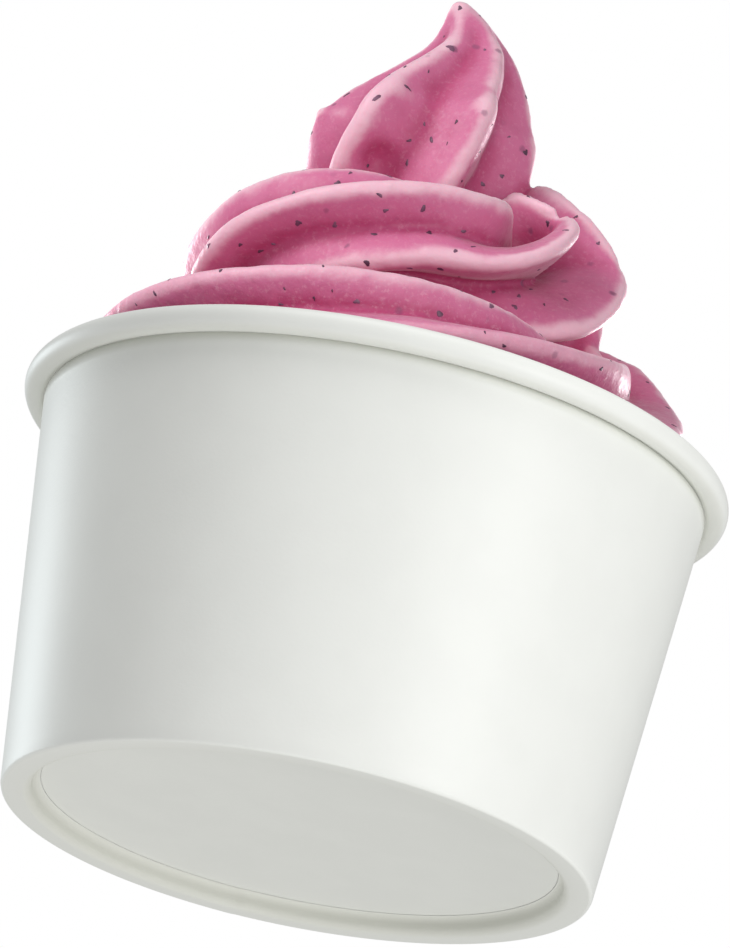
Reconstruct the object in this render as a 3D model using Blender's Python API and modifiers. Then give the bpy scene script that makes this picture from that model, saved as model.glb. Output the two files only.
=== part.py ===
"""A paper tub of frozen yogurt with a piped swirl, built at its real size.

Metres, +Z up. The origin is the centre of the foot ring, on the surface that
the tub stands on. The front of the swirl faces -Y.

Nodes:
  cup_sidewall   paper cone with its rolled rim and the folded ring that it stands on
  cup_base_disc  flat paper bottom, resting on the ledge of the foot ring
  frozen_yogurt  one body of frozen yogurt: the filling and the fluted swirl above it
"""

import math

import bmesh
import bpy
import numpy as np

MM = 0.001

# Driving dimensions of the paper cup.
RIM_RADIUS = 48.0 * MM
CUP_HEIGHT = 57.5 * MM
ROLL_RADIUS = 1.65 * MM
WALL_TOP_RADIUS = 45.1 * MM
BASE_RADIUS = 39.7 * MM
PAPER = 0.5 * MM
FOOT_WIDTH = 4.0 * MM
FOOT_ROUND = 0.9 * MM
LEDGE_HEIGHT = 2.2 * MM
DISC_THICKNESS = 0.6 * MM
GAP = 0.3 * MM
ROUND_STEPS = 64

# Worked out from them.
ROLL_CENTRE_RADIUS = RIM_RADIUS - ROLL_RADIUS
ROLL_CENTRE_HEIGHT = CUP_HEIGHT - ROLL_RADIUS
ROLL_WALL_ANGLE = -math.acos((WALL_TOP_RADIUS - ROLL_CENTRE_RADIUS) / ROLL_RADIUS)
WALL_TOP_HEIGHT = ROLL_CENTRE_HEIGHT + ROLL_RADIUS * math.sin(ROLL_WALL_ANGLE)
DISC_BOTTOM = LEDGE_HEIGHT + GAP
DISC_TOP = DISC_BOTTOM + DISC_THICKNESS

# The filling stops just under the rim; the swirl's own coils cover its top.
FILL_BOTTOM = DISC_TOP + GAP
FILL_TOP = 50.0 * MM

# The swirl is one fluted rope from a six-pointed nozzle. An angle along it counts on round
# the cup: -90 and 270 are the front, -180 and 180 the left, and the peak starts at 450.
# Each law below gives values (mm or degrees) at the angles where the rope's shape changes.
CENTRE_DISTANCE = (
    (-400, 27), (-270, 27), (-180, 28), (-90, 31), (-45, 30.5), (-20, 29), (0, 28.3),
    (20, 26.5), (90, 22), (180, 22), (270, 19), (360, 12), (450, 4), (500, 4), (545, 0), (590, 0),
)
CENTRE_HEIGHT = (
    (-400, 45), (-270, 53), (-180, 60), (-90, 60), (-45, 60), (-15, 62.5), (0, 65.5),
    (20, 72), (45, 74.5), (90, 75), (180, 76.2), (225, 79), (270, 79.8), (315, 78), (360, 82),
    (450, 83), (500, 91), (535, 99), (550, 105), (570, 115), (590, 121.6),
)
HALF_WIDTH = (
    (-400, 14), (-180, 14), (-90, 12), (-45, 11), (-15, 12.3), (20, 10.3), (90, 12),
    (200, 9.8), (270, 11), (315, 16.5), (335, 17.5), (362, 14.5), (390, 14), (450, 15),
    (500, 14.5), (535, 15.8), (548, 15.6), (555, 13.3), (562, 10), (570, 6), (577, 4.4),
    (584, 3), (590, 1.6),
)
HALF_HEIGHT = (
    (-400, 10), (-180, 9.5), (-90, 8), (0, 10), (90, 11), (180, 9), (270, 9), (315, 13),
    (360, 16), (400, 17.5), (450, 16), (500, 14.5), (535, 15.5), (549, 15.3), (555, 13),
    (562, 9.8), (570, 6), (577, 4.4), (584, 3), (590, 1.6),
)
RIDGE_ROLL = (
    (-400, -210), (-270, -90), (-180, -5), (-90, 45), (0, 140), (90, 210), (180, 325),
    (270, 390), (315, 460), (360, 540), (450, 545), (535, 530), (590, 525),
)
# How far the peak leans over to the right of the coils' own centre.
SLIDE = (
    (-400, 0), (500, 0), (525, -1), (545, -2.2), (552, -1.8), (558, 0), (565, 1.8),
    (572, 2.6), (582, 1.4), (590, -0.5),
)
# Share by which the ridges crowd to the rope's inner side, and depth of the flutes.
RIDGE_CROWDING = (
    (-400, 0.35), (270, 0.3), (330, 0.4), (400, 0.32), (450, 0.2), (510, 0), (590, 0),
)
FLUTE_DEPTH = (
    (-400, 0.36), (270, 0.36), (340, 0.46), (370, 0.54), (400, 0.5), (480, 0.36),
    (555, 0.36), (575, 0.25), (590, 0),
)
PEAK_ANGLE = 450.0
RIDGES = 6
CREST_ROUNDING = 0.24
FLUTE_POWER = 0.85
STATIONS_FINE = 700
RING_FINE = 150
# The rope is laid thinner by its skin and then grown by it, which rounds the crests.
SKIN = 0.65 * MM
# Where the rope bends tightly, its inner side is held short of the middle of the bend.
BEND_LIMIT = 0.8
BEND_SOFTNESS = 0.06
BEND_WINDOW = 30.0
LEAST_BEND_RADIUS = 100.0 * MM

# The coils close on one another round this core: radius and height (mm).
CORE = ((28.0, 48.0), (27.0, 60.0), (24.0, 68.0), (17.0, 79.0), (9.0, 87.0))
VOXEL = 0.8 * MM
SWIRL_TRIANGLES = 5200


def wall_radius(height: float) -> float:
    """Outer radius of the paper cone at a height above the foot."""
    share = height / WALL_TOP_HEIGHT
    return BASE_RADIUS + (WALL_TOP_RADIUS - BASE_RADIUS) * share


def arc(centre, radius, start, end, steps):
    """Points on an arc in the X-Z plane, from the start angle to the end angle (radians)."""
    angles = np.linspace(start, end, steps + 1)
    return [(centre[0] + radius * math.cos(a), centre[1] + radius * math.sin(a)) for a in angles]


def start_clean(name: str) -> bpy.types.Collection:
    """Empty the scene and return a new collection for the object."""
    for old in list(bpy.data.objects):
        bpy.data.objects.remove(old)
    collection = bpy.data.collections.new(name)
    bpy.context.scene.collection.children.link(collection)
    return collection


def plain_material(name, colour, roughness) -> bpy.types.Material:
    """Principled material of one colour, given as (red, green, blue)."""
    material = bpy.data.materials.new(name)
    material.use_nodes = True
    shader = material.node_tree.nodes["Principled BSDF"]
    shader.inputs["Base Color"].default_value = (*colour, 1.0)
    shader.inputs["Roughness"].default_value = roughness
    shader.inputs["Metallic"].default_value = 0.0
    return material


def add_object(name, mesh, material, collection) -> bpy.types.Object:
    """Put a mesh in the collection as a smooth-shaded object of that name."""
    mesh.materials.append(material)
    mesh.shade_smooth()
    mesh.set_sharp_from_angle(angle=math.radians(40))
    thing = bpy.data.objects.new(name, mesh)
    collection.objects.link(thing)
    return thing


def turned(name, profile, material, collection, closed) -> bpy.types.Object:
    """Turn a profile in the X-Z plane about Z; a profile that isn't closed ends on the axis."""
    mesh = bpy.data.meshes.new(name)
    count = len(profile)
    edges = [(i, i + 1) for i in range(count - 1)]
    if closed:
        edges.append((count - 1, 0))
    mesh.from_pydata([(x, 0.0, z) for x, z in profile], edges, [])
    thing = bpy.data.objects.new(name, mesh)
    collection.objects.link(thing)
    screw = thing.modifiers.new("Turn", "SCREW")
    screw.axis = "Z"
    screw.angle = math.tau
    screw.steps = ROUND_STEPS
    screw.render_steps = ROUND_STEPS
    screw.use_merge_vertices = True
    screw.merge_threshold = 0.00001
    solid = evaluated_mesh(thing, name)
    bpy.data.objects.remove(thing)
    return add_object(name, solid, material, collection)


def evaluated_mesh(thing, name) -> bpy.types.Mesh:
    """A new mesh with the object's modifiers applied."""
    depsgraph = bpy.context.evaluated_depsgraph_get()
    depsgraph.update()
    solid = bpy.data.meshes.new_from_object(thing.evaluated_get(depsgraph))
    solid.name = name
    return solid


def make_sidewall(material, collection) -> bpy.types.Object:
    """Paper cone, rolled rim and foot ring as one closed section turned about the axis."""
    roll_centre = (ROLL_CENTRE_RADIUS, ROLL_CENTRE_HEIGHT)
    roll = arc(roll_centre, ROLL_RADIUS, math.pi, ROLL_WALL_ANGLE, 16)
    lean = math.atan2(WALL_TOP_RADIUS - BASE_RADIUS, WALL_TOP_HEIGHT)
    heel_centre = (BASE_RADIUS - FOOT_ROUND, FOOT_ROUND)
    heel = arc(heel_centre, FOOT_ROUND, -lean, -math.pi / 2, 4)
    inner = BASE_RADIUS - FOOT_WIDTH
    toe_round = 0.5 * FOOT_ROUND
    toe = arc((inner + toe_round, toe_round), toe_round, -math.pi / 2, -math.pi, 3)
    ledge = [(inner, LEDGE_HEIGHT), (wall_radius(LEDGE_HEIGHT) - PAPER, LEDGE_HEIGHT)]
    profile = roll + heel + toe + ledge
    return turned("cup_sidewall", profile, material, collection, closed=True)


def make_base_disc(material, collection) -> bpy.types.Object:
    """Flat disc that lies on the foot ring's ledge, with a softened edge."""
    radius = wall_radius(DISC_BOTTOM) - PAPER - GAP
    soft = 0.25 * DISC_THICKNESS
    profile = [
        (0.0, DISC_TOP),
        (radius - soft, DISC_TOP),
        (radius, DISC_TOP - soft),
        (radius, DISC_BOTTOM + soft),
        (radius - soft, DISC_BOTTOM),
        (0.0, DISC_BOTTOM),
    ]
    return turned("cup_base_disc", profile, material, collection, closed=False)


def law(pairs, at):
    """Smooth curve through (angle, value) pairs, read at the angles asked for.

    Each span is a cubic Hermite curve. The slope at a pair is the harmonic mean of the
    slopes of the spans beside it, or zero where they turn, so that no span overshoots.
    """
    place, value = np.asarray(pairs, float).T
    straight = np.diff(value) / np.diff(place)
    before = np.concatenate([straight[:1], straight])
    after = np.concatenate([straight, straight[-1:]])
    same_way = before * after > 0
    total = np.where(same_way, before + after, 1.0)
    slope = np.where(same_way, 2 * before * after / total, 0.0)
    span = np.clip(np.searchsorted(place, at, side="right") - 1, 0, len(place) - 2)
    length = place[span + 1] - place[span]
    t = (at - place[span]) / length
    return (
        (2 * t**3 - 3 * t**2 + 1) * value[span]
        + (t**3 - 2 * t**2 + t) * length * slope[span]
        + (3 * t**2 - 2 * t**3) * value[span + 1]
        + (t**3 - t**2) * length * slope[span + 1]
    )


def unit(vectors):
    """Vectors of length one."""
    return vectors / np.linalg.norm(vectors, axis=-1, keepdims=True)


def swirl_frames(angles):
    """Centre line and its outward and upward directions at each angle along the rope.

    Outward points away from the cup's axis along the coils. From the peak on, it is
    carried along the line without turning about it. The slide moves the centres alone.
    """
    turn = np.radians(angles)
    radial = np.stack([np.cos(turn), np.sin(turn), np.zeros_like(turn)], axis=1)
    centre = radial * law(CENTRE_DISTANCE, angles)[:, None] * MM
    centre[:, 2] = law(CENTRE_HEIGHT, angles) * MM
    along = unit(np.gradient(centre, axis=0))
    outward = unit(radial - along * np.sum(radial * along, axis=1, keepdims=True))
    first = int(np.searchsorted(angles, PEAK_ANGLE))
    for i in range(first + 1, len(angles)):
        carried = outward[i - 1] - along[i] * np.dot(outward[i - 1], along[i])
        outward[i] = unit(carried)
    centre[:, 0] += law(SLIDE, angles) * MM
    return centre, outward, np.cross(outward, along)


def unfolded(offsets, centre, angles):
    """Offsets from the centre line, held short of the middle of its bends.

    The bend vector is the change of the line's direction per metre, averaged over a
    window of angles. An offset whose product with it passes the limit is drawn back
    along the vector, softly, so that neighbouring rings don't cross.
    """
    step = np.gradient(centre, axis=0)
    pace = np.linalg.norm(step, axis=1, keepdims=True)
    bend = np.gradient(step / pace, axis=0) / pace
    half = int(0.5 * BEND_WINDOW / (angles[1] - angles[0]))
    window = np.hanning(2 * half + 3)[1:-1]
    window = window / window.sum()
    padded = np.pad(bend, ((half, half), (0, 0)), mode="edge")
    bend = np.stack([np.convolve(padded[:, k], window, mode="valid") for k in range(3)], 1)
    reach = np.einsum("sck,sk->sc", offsets, bend)
    excess = BEND_SOFTNESS * np.logaddexp(0.0, (reach - BEND_LIMIT) / BEND_SOFTNESS)
    size = np.maximum(np.sum(bend**2, axis=1), 1.0 / LEAST_BEND_RADIUS**2)
    return offsets - excess[..., None] * (bend / size[:, None])[:, None, :]


def swirl_grid():
    """Rings of the fluted rope, swept along its coils up to the tip.

    The section is an ellipse whose radius drops between ridges with a power of the
    sine of the ridge angle, rounded off at the crests. Where the ridges crowd to the
    inner side, the flutes of the outer side are wider and deeper.
    """
    angles = np.linspace(RIDGE_ROLL[0][0], RIDGE_ROLL[-1][0], STATIONS_FINE)
    centre, outward, upward = swirl_frames(angles)
    ring = np.linspace(0.0, math.tau, RING_FINE, endpoint=False)[None, :]
    rolled = np.radians(law(RIDGE_ROLL, angles))[:, None] - ring
    crowding = law(RIDGE_CROWDING, angles)[:, None]
    angle = rolled + crowding * np.sin(rolled)
    width = 1.0 + crowding * np.cos(rolled)
    half = 0.5 * FLUTE_POWER
    crest = CREST_ROUNDING**2
    wave = np.sin(0.5 * RIDGES * ring) ** 2
    hollow = ((wave + crest) ** half - crest**half) / ((1 + crest) ** half - crest**half)
    radius = 1.0 - law(FLUTE_DEPTH, angles)[:, None] * width**1.5 * hollow
    half_width = law(HALF_WIDTH, angles)[:, None] * MM - SKIN
    half_height = law(HALF_HEIGHT, angles)[:, None] * MM - SKIN
    across = (half_width * radius * np.cos(angle))[..., None] * outward[:, None, :]
    above = (half_height * radius * np.sin(angle))[..., None] * upward[:, None, :]
    return centre[:, None, :] + unfolded(across + above, centre, angles)


def core_grid():
    """Rings of the rounded core inside the coils."""
    rows = np.asarray(CORE) * MM
    turn = np.linspace(0.0, math.tau, 48, endpoint=False)
    rings = np.empty((len(rows), len(turn), 3))
    rings[..., 0] = rows[:, :1] * np.cos(turn)
    rings[..., 1] = rows[:, :1] * np.sin(turn)
    rings[..., 2] = rows[:, 1:]
    return rings


def closed_tubes(name, grids) -> bpy.types.Mesh:
    """Mesh of grids of rings; each ring is joined to the next, with a face over both ends."""
    vertices, faces = [], []
    for points in grids:
        rings, count, _ = points.shape
        index = len(vertices) + np.arange(rings * count).reshape(rings, count)
        near, far = index[:-1], index[1:]
        sides = np.stack([near, np.roll(near, -1, 1), np.roll(far, -1, 1), far], axis=-1)
        faces += sides.reshape(-1, 4).tolist() + [index[0][::-1].tolist(), index[-1].tolist()]
        vertices += points.reshape(-1, 3).tolist()
    mesh = bpy.data.meshes.new(name)
    mesh.from_pydata(vertices, [], faces)
    face_outwards(mesh)
    return mesh


def face_outwards(mesh) -> None:
    """Turn every face of a closed mesh outwards."""
    work = bmesh.new()
    work.from_mesh(mesh)
    bmesh.ops.recalc_face_normals(work, faces=work.faces)
    work.to_mesh(mesh)
    work.free()


def add_melt(thing) -> None:
    """Add a modifier that draws one skin round everything in the object."""
    melt = thing.modifiers.new("Melt", "REMESH")
    melt.mode = "VOXEL"
    melt.voxel_size = VOXEL


def make_frozen_yogurt(material, collection, cutters) -> bpy.types.Object:
    """Swirl and filling joined into one body, a small gap inside the paper."""
    coils = closed_tubes("swirl", [swirl_grid(), core_grid()])
    swirl = add_object("swirl", coils, material, cutters)
    add_melt(swirl)
    relax = swirl.modifiers.new("Relax", "SMOOTH")
    relax.factor = 0.5
    relax.iterations = 3
    grow = swirl.modifiers.new("Grow", "DISPLACE")
    grow.mid_level = 0.0
    grow.strength = SKIN
    add_melt(swirl)
    melted = evaluated_mesh(swirl, "melted")
    bpy.data.objects.remove(swirl)
    swirl = add_object("swirl", melted, material, cutters)
    thin = swirl.modifiers.new("Thin", "DECIMATE")
    thin.ratio = min(1.0, SWIRL_TRIANGLES / (2.0 * len(melted.polygons)))
    thin.use_collapse_triangulate = True

    lower = wall_radius(FILL_BOTTOM) - PAPER - GAP
    upper = wall_radius(FILL_TOP) - PAPER - GAP
    soft = 1.0 * MM
    profile = [
        (0.0, FILL_TOP),
        (upper - soft, FILL_TOP),
        (upper, FILL_TOP - soft),
        (lower, FILL_BOTTOM + soft),
        (lower - soft, FILL_BOTTOM),
        (0.0, FILL_BOTTOM),
    ]
    filling = turned("filling", profile, material, cutters, closed=False)
    join = filling.modifiers.new("Join", "BOOLEAN")
    join.operation = "UNION"
    join.solver = "EXACT"
    join.object = swirl
    whole = evaluated_mesh(filling, "frozen_yogurt")
    bpy.data.objects.remove(filling)
    bpy.data.objects.remove(swirl)
    return add_object("frozen_yogurt", whole, material, collection)


def main() -> None:
    """Build the tub and its contents."""
    tub = start_clean("frozen_yogurt_cup")
    cutters = bpy.data.collections.new("cutters")
    bpy.context.scene.collection.children.link(cutters)
    paper = plain_material("coated_paper", (0.90, 0.90, 0.88), 0.55)
    yogurt = plain_material("berry_frozen_yogurt", (0.66, 0.17, 0.33), 0.5)
    make_sidewall(paper, tub)
    make_base_disc(paper, tub)
    make_frozen_yogurt(yogurt, tub, cutters)


if __name__ == "__main__":
    main()
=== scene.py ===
"""Looks of a paper tub of frozen yogurt with a piped swirl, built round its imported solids."""

import logging
import math
from collections.abc import Callable
from dataclasses import dataclass, field
from enum import Enum

import bmesh
import bpy
import numpy as np
from mathutils import Matrix, Vector


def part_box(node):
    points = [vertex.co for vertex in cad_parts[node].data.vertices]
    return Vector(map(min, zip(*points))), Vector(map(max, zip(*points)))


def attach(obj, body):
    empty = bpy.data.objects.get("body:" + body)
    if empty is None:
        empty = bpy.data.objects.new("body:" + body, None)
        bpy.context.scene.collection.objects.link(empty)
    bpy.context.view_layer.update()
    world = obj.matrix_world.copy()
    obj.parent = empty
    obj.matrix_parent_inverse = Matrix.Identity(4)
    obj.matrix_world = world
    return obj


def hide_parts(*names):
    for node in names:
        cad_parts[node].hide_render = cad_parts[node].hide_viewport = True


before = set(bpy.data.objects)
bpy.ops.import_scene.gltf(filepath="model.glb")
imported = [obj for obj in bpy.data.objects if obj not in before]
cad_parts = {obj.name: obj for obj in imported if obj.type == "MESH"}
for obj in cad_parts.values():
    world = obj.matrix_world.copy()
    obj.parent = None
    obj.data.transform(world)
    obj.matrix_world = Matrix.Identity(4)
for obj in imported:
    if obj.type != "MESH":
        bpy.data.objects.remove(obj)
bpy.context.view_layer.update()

log = logging.getLogger("frozen_yogurt_cup")

MM = 0.001
CLEARANCE = 0.3 * MM

Colour = tuple[float, float, float]
Pairs = tuple[tuple[float, float], ...]
Swell = Callable[[np.ndarray, np.ndarray], np.ndarray]
Value = float | tuple[float, ...] | bpy.types.NodeSocket


class Slot(Enum):
    """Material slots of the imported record."""

    WALL_PAPER = "coated_paper"
    BASE_PAPER = "base_paper"
    YOGURT = "frozen_yogurt"


class Reach(Enum):
    """What a soft box falls on."""

    TUB = "tub"
    FOOD = "food"


class Node(Enum):
    """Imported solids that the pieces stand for."""

    SIDEWALL = "cup_sidewall"
    BASE_DISC = "cup_base_disc"
    YOGURT = "frozen_yogurt"


# ---------------------------------------------------------------------------
# Numbers and surfaces
# ---------------------------------------------------------------------------


def unit(vectors: np.ndarray) -> np.ndarray:
    """Vectors divided by their lengths.

    Args:
        vectors: Array whose last axis holds x, y and z.

    Returns:
        Array of the same shape, with every vector of length one.
    """
    lengths = np.linalg.norm(vectors, axis=-1, keepdims=True)
    return vectors / np.maximum(lengths, 1e-12)


def law(pairs: Pairs, at: np.ndarray) -> np.ndarray:
    """Smooth curve through (place, value) pairs that never overshoots them.

    Each span is a cubic Hermite curve. The slope at a pair is the harmonic mean of the
    slopes of the spans beside it, or zero where they turn.

    Args:
        pairs: Places, rising, with their values.
        at: Places to read the curve at.

    Returns:
        The curve's values at those places.
    """
    place, value = np.asarray(pairs, float).T
    straight = np.diff(value) / np.diff(place)
    before = np.concatenate([straight[:1], straight])
    after = np.concatenate([straight, straight[-1:]])
    same_way = before * after > 0
    total = np.where(same_way, before + after, 1.0)
    slope = np.where(same_way, 2 * before * after / total, 0.0)
    span = np.clip(np.searchsorted(place, at, side="right") - 1, 0, len(place) - 2)
    length = place[span + 1] - place[span]
    t = (at - place[span]) / length
    return (
        (2 * t**3 - 3 * t**2 + 1) * value[span]
        + (t**3 - 2 * t**2 + t) * length * slope[span]
        + (3 * t**2 - 2 * t**3) * value[span + 1]
        + (t**3 - t**2) * length * slope[span + 1]
    )


def smooth_noise(points: np.ndarray, size: float, seed: int) -> np.ndarray:
    """Smooth random values between about -1 and 1.

    Random values sit on a cubic lattice of cells `size` wide. A point takes the blend of
    the eight corners of its cell, weighted by its place in the cell after the curve
    t * t * (3 - 2 t). The lattice is turned so that its axes don't follow the cup's.

    Args:
        points: Points in metres, one per row.
        size: Width of a lattice cell in metres.
        seed: Seed of the lattice values.

    Returns:
        One value per point.
    """
    cells = 32
    lattice = np.random.default_rng(seed).uniform(-1.0, 1.0, (cells, cells, cells))
    turn = np.array(Matrix.Rotation(0.7, 3, Vector((1.0, 2.0, 3.0)).normalized()))
    place = points @ turn.T / size
    cell = np.floor(place).astype(int)
    share = place - cell
    share = share * share * (3.0 - 2.0 * share)
    total = np.zeros(len(points))
    for corner in np.ndindex(2, 2, 2):
        index = (cell + np.array(corner)) % cells
        weight = np.prod(np.where(np.array(corner) == 1, share, 1.0 - share), axis=1)
        total += weight * lattice[index[:, 0], index[:, 1], index[:, 2]]
    return total


def tube_faces(rings: int, count: int, first: int = 0) -> np.ndarray:
    """Quads that join each ring of points to the next one.

    Args:
        rings: How many rings there are.
        count: How many points each ring has.
        first: Index of the first point.

    Returns:
        Corner indices, four to a row.
    """
    index = first + np.arange(rings * count).reshape(rings, count)
    near, far = index[:-1], index[1:]
    corners = np.stack([near, np.roll(near, -1, 1), np.roll(far, -1, 1), far], axis=-1)
    return corners.reshape(-1, 4)


def capped_tubes(name: str, grids: list[np.ndarray]) -> bpy.types.Mesh:
    """One mesh of several tubes, each with a face over both ends.

    Args:
        name: Name of the mesh.
        grids: Arrays of rings of points (rings, points, 3), in metres.

    Returns:
        Mesh with its faces pointing outwards.
    """
    faces: list[list[int]] = []
    first = 0
    for points in grids:
        rings, count, _ = points.shape
        faces += tube_faces(rings, count, first).tolist()
        last = first + (rings - 1) * count
        faces += [list(range(first, first + count))[::-1], list(range(last, last + count))]
        first += rings * count
    mesh = bpy.data.meshes.new(name)
    mesh.from_pydata(np.concatenate([g.reshape(-1, 3) for g in grids]).tolist(), [], faces)
    mend(mesh, merge=0.0)
    return mesh


def turned(
    name: str, profile: np.ndarray, steps: int, swell: Swell | None = None
) -> bpy.types.Mesh:
    """Surface of a closed profile turned about the cup's axis.

    A point of the profile (r, z) at the angle a goes to (r cos a, r sin a, z), with r
    made larger by the swell at that angle and height.

    Args:
        name: Name of the mesh.
        profile: Radii and heights in metres, one pair per row. The last pair joins the
            first one; pairs on the axis become poles.
        steps: Number of steps round the axis.
        swell: Function of an array of angles and one of heights that gives metres.

    Returns:
        Closed mesh with its faces pointing outwards.
    """
    angle = np.linspace(0.0, math.tau, steps, endpoint=False)[None, :]
    ring = np.concatenate([profile, profile[:1]])
    radius = np.repeat(ring[:, :1], steps, axis=1)
    height = np.repeat(ring[:, 1:], steps, axis=1)
    if swell is not None:
        radius = np.where(radius > 0.0, radius + swell(angle, height), 0.0)
    points = np.stack([radius * np.cos(angle), radius * np.sin(angle), height], axis=-1)
    mesh = bpy.data.meshes.new(name)
    mesh.from_pydata(points.reshape(-1, 3).tolist(), [], tube_faces(len(ring), steps).tolist())
    mend(mesh, merge=1e-6)
    return mesh


def mend(mesh: bpy.types.Mesh, merge: float) -> None:
    """Merge doubled points, then turn every face of a closed mesh outwards.

    Args:
        mesh: Mesh to change.
        merge: Distance in metres under which points become one; none if zero.
    """
    work = bmesh.new()
    work.from_mesh(mesh)
    if merge > 0.0:
        bmesh.ops.remove_doubles(work, verts=work.verts, dist=merge)
    bmesh.ops.recalc_face_normals(work, faces=work.faces)
    work.to_mesh(mesh)
    work.free()
    mesh.update()


def arc(
    centre: tuple[float, float], radius: float, start: float, end: float, steps: int
) -> np.ndarray:
    """Points on an arc of a profile.

    Args:
        centre: Radius and height of the arc's centre.
        radius: Radius of the arc.
        start: First angle in radians, counted from outwards towards upwards.
        end: Last angle in radians.
        steps: Number of steps along the arc.

    Returns:
        Array of radii and heights.
    """
    angles = np.linspace(start, end, steps + 1)
    return np.stack(
        [centre[0] + radius * np.cos(angles), centre[1] + radius * np.sin(angles)], axis=1
    )


@dataclass
class Skin:
    """Points and edges of a mesh as arrays, for smoothing and relief."""

    mesh: bpy.types.Mesh
    points: np.ndarray = field(init=False)
    ends: np.ndarray = field(init=False)
    degree: np.ndarray = field(init=False)

    def __post_init__(self) -> None:
        """Read the mesh."""
        count = len(self.mesh.vertices)
        self.points = np.empty(count * 3, np.float32)
        self.mesh.vertices.foreach_get("co", self.points)
        self.points = self.points.reshape(-1, 3).astype(float)
        edges = np.empty(len(self.mesh.edges) * 2, np.int32)
        self.mesh.edges.foreach_get("vertices", edges)
        edges = edges.reshape(-1, 2)
        self.ends = np.concatenate([edges, edges[:, ::-1]])
        self.degree = np.bincount(self.ends[:, 0], minlength=count).astype(float)

    def around(self, values: np.ndarray) -> np.ndarray:
        """Mean of each point's neighbours.

        Args:
            values: One row per point.

        Returns:
            Array of the same shape.
        """
        columns = [
            np.bincount(self.ends[:, 0], values[self.ends[:, 1], k], len(values))
            for k in range(values.shape[1])
        ]
        return np.stack(columns, axis=1) / self.degree[:, None]

    def relaxed(self, values: np.ndarray, rounds: int) -> np.ndarray:
        """Values moved half way to their neighbours' mean, over and over.

        Args:
            values: One row per point.
            rounds: How many times.

        Returns:
            Smoothed array of the same shape.
        """
        for _ in range(rounds):
            values = 0.5 * values + 0.5 * self.around(values)
        return values

    def write(self) -> None:
        """Put the points back into the mesh."""
        self.mesh.vertices.foreach_set("co", self.points.astype(np.float32).ravel())
        self.mesh.update()

    def normals(self) -> np.ndarray:
        """Outward direction at every point of the mesh as it is now.

        Returns:
            Unit vectors, one per row.
        """
        found = np.empty(len(self.points) * 3, np.float32)
        self.mesh.vertices.foreach_get("normal", found)
        return found.reshape(-1, 3).astype(float)

    def mark(self, name: str, values: np.ndarray) -> None:
        """Write one value per point as an attribute that a finish can read."""
        layer = self.mesh.attributes.new(name, "FLOAT", "POINT")
        layer.data.foreach_set("value", values.astype(np.float32))


# ---------------------------------------------------------------------------
# Finishes
# ---------------------------------------------------------------------------


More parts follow.
